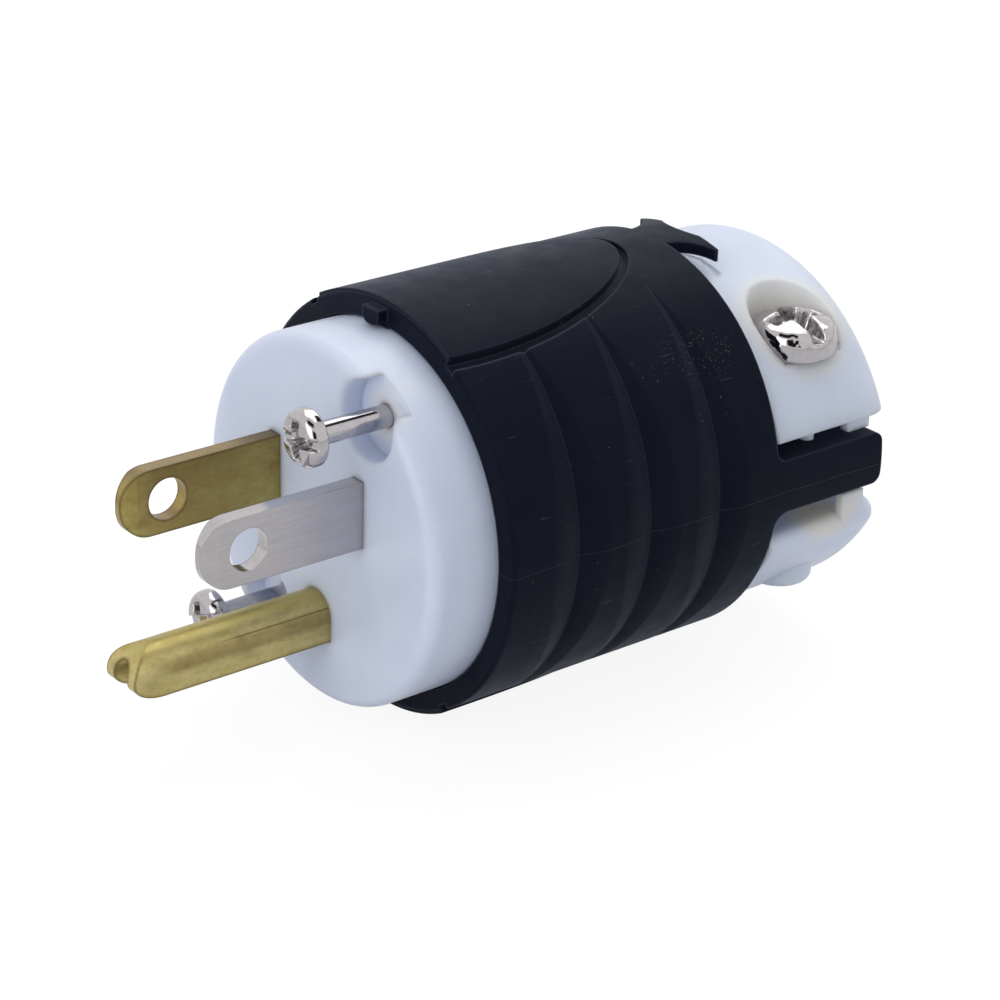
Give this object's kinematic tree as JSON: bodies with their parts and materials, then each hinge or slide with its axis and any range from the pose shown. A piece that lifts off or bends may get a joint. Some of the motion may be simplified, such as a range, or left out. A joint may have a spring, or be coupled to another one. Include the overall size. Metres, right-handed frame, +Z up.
{
  "type": "electrical plug",
  "caption": "Straight three-prong mains plug with a nylon face, a grooved black housing and a screwed cord clamp for rewiring a cord.",
  "frame": {"origin": "on the housing's axis, in the plane of the front face that meets the socket", "axes": "-Y out of the front face along the blades, +Y towards the cord clamp, +Z up with the ground pin below the blades, +X to the right seen from the cord end"},
  "size_m": [0.0392, 0.0739, 0.0396],
  "materials": {
    "white_nylon": "satin, slightly translucent",
    "inner_nylon": "plain moulded",
    "black_nylon": "fine-grained satin",
    "brass": "worn, lightly stained",
    "nickel_plate": "satin nickel plate",
    "screw_steel": "bright nickel plate",
    "green_screw": "green dyed zinc"
  },
  "bodies": {
    "plug_body": {"front_body": "white_nylon", "terminal_block": "inner_nylon", "line_blade": "brass", "neutral_blade": "nickel_plate", "ground_pin": "brass", "line_wire_plate": "brass", "neutral_wire_plate": "nickel_plate", "ground_wire_plate": "brass", "line_terminal_screw": "brass", "neutral_terminal_screw": "screw_steel", "ground_terminal_screw": "green_screw", "assembly_insert_upper": "brass", "assembly_insert_lower": "brass", "housing": "black_nylon"},
    "upper_jaw": {"clamp_jaw_upper": "white_nylon", "clamp_screw_right": "screw_steel", "clamp_screw_left": "screw_steel"},
    "lower_jaw": {"clamp_jaw_lower": "white_nylon", "clamp_insert_right": "brass", "clamp_insert_left": "brass"},
    "upper_screw": {"assembly_screw_upper": "screw_steel"},
    "lower_screw": {"assembly_screw_lower": "screw_steel"}
  },
  "joints": [
    {"name": "upper_jaw_opening", "type": "slide", "parent": "plug_body", "child": "upper_jaw", "axis": [0, 0, 1], "range_m": [0, 0.0012]},
    {"name": "lower_jaw_opening", "type": "slide", "parent": "plug_body", "child": "lower_jaw", "axis": [0, 0, -1], "range_m": [0, 0.0012]},
    {"name": "upper_screw_travel", "type": "slide", "parent": "plug_body", "child": "upper_screw", "axis": [0, 1, 0], "range_m": [0, 0.0076]},
    {"name": "lower_screw_travel", "type": "slide", "parent": "plug_body", "child": "lower_screw", "axis": [0, 1, 0], "range_m": [0, 0.0076]}
  ],
  "couplings": [
    {"joint": "lower_jaw_opening", "follows": "upper_jaw_opening", "ratio": 1}
  ]
}
